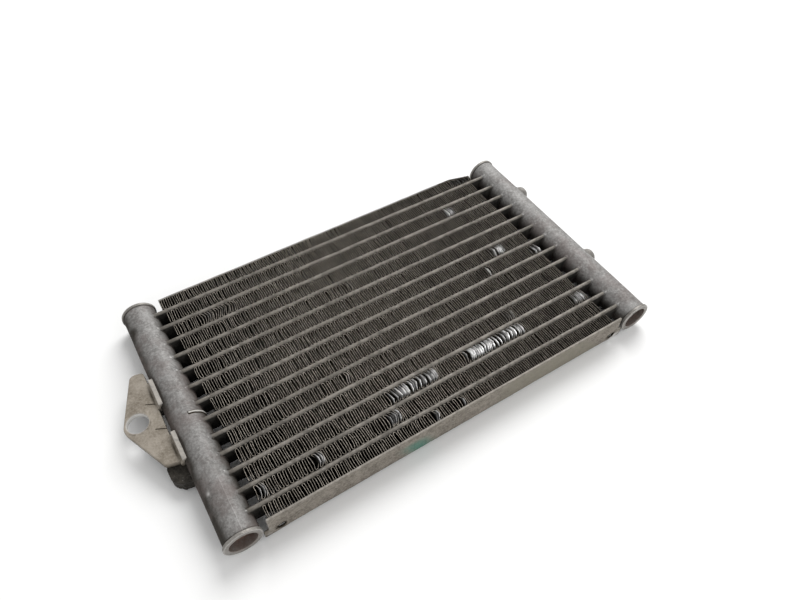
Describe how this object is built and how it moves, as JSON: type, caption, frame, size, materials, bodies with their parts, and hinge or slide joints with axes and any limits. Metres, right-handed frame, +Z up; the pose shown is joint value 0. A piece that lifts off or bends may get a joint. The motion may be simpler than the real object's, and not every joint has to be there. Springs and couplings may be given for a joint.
{
  "type": "hydraulic oil cooler",
  "caption": "Flat brazed tube-and-fin oil cooler with two round header tanks, flanged end caps, side plates and a side mounting ear.",
  "frame": {"origin": "centre of the object's footprint at the level it lies on, where the end cap flanges touch", "axes": "+X along the flat tubes towards the header with the two mount bosses, +Y towards the rear side plate, +Z up out of the core's upper face"},
  "size_m": [0.3418, 0.18, 0.023],
  "materials": {
    "header_aluminium": "dull mottled brazed aluminium",
    "cap_aluminium": "pressed aluminium, dull, with a brown film in the cup",
    "tube_aluminium": "weathered extruded aluminium with grime between the fins",
    "fin_aluminium": "thin dirty aluminium foil, bright where crushed",
    "side_plate_aluminium": "weathered sheet aluminium",
    "bracket_aluminium": "tan weathered aluminium, bare on the lips",
    "port_aluminium": "aluminium under dark oily grime",
    "boss_aluminium": "dull cast aluminium"
  },
  "bodies": {
    "root": {"left_header_tank": "header_aluminium", "right_header_tank": "header_aluminium", "left_header_baffle": "side_plate_aluminium", "left_rear_end_cap": "cap_aluminium", "left_front_end_cap": "cap_aluminium", "right_rear_end_cap": "cap_aluminium", "right_front_end_cap": "cap_aluminium", "tube_01": "tube_aluminium", "tube_02": "tube_aluminium", "tube_03": "tube_aluminium", "tube_04": "tube_aluminium", "tube_05": "tube_aluminium", "tube_06": "tube_aluminium", "tube_07": "tube_aluminium", "tube_08": "tube_aluminium", "tube_09": "tube_aluminium", "tube_10": "tube_aluminium", "tube_11": "tube_aluminium", "tube_12": "tube_aluminium", "tube_13": "tube_aluminium", "fin_01": "fin_aluminium", "fin_02": "fin_aluminium", "fin_03": "fin_aluminium", "fin_04": "fin_aluminium", "fin_05": "fin_aluminium", "fin_06": "fin_aluminium", "fin_07": "fin_aluminium", "fin_08": "fin_aluminium", "fin_09": "fin_aluminium", "fin_10": "fin_aluminium", "fin_11": "fin_aluminium", "fin_12": "fin_aluminium", "fin_13": "fin_aluminium", "fin_14": "fin_aluminium", "rear_side_plate": "side_plate_aluminium", "front_side_plate": "side_plate_aluminium", "mounting_bracket": "bracket_aluminium", "inlet_port_boss": "port_aluminium", "outlet_port_boss": "port_aluminium", "right_mount_boss_rear": "boss_aluminium", "right_mount_boss_front": "boss_aluminium"}
  },
  "joints": []
}
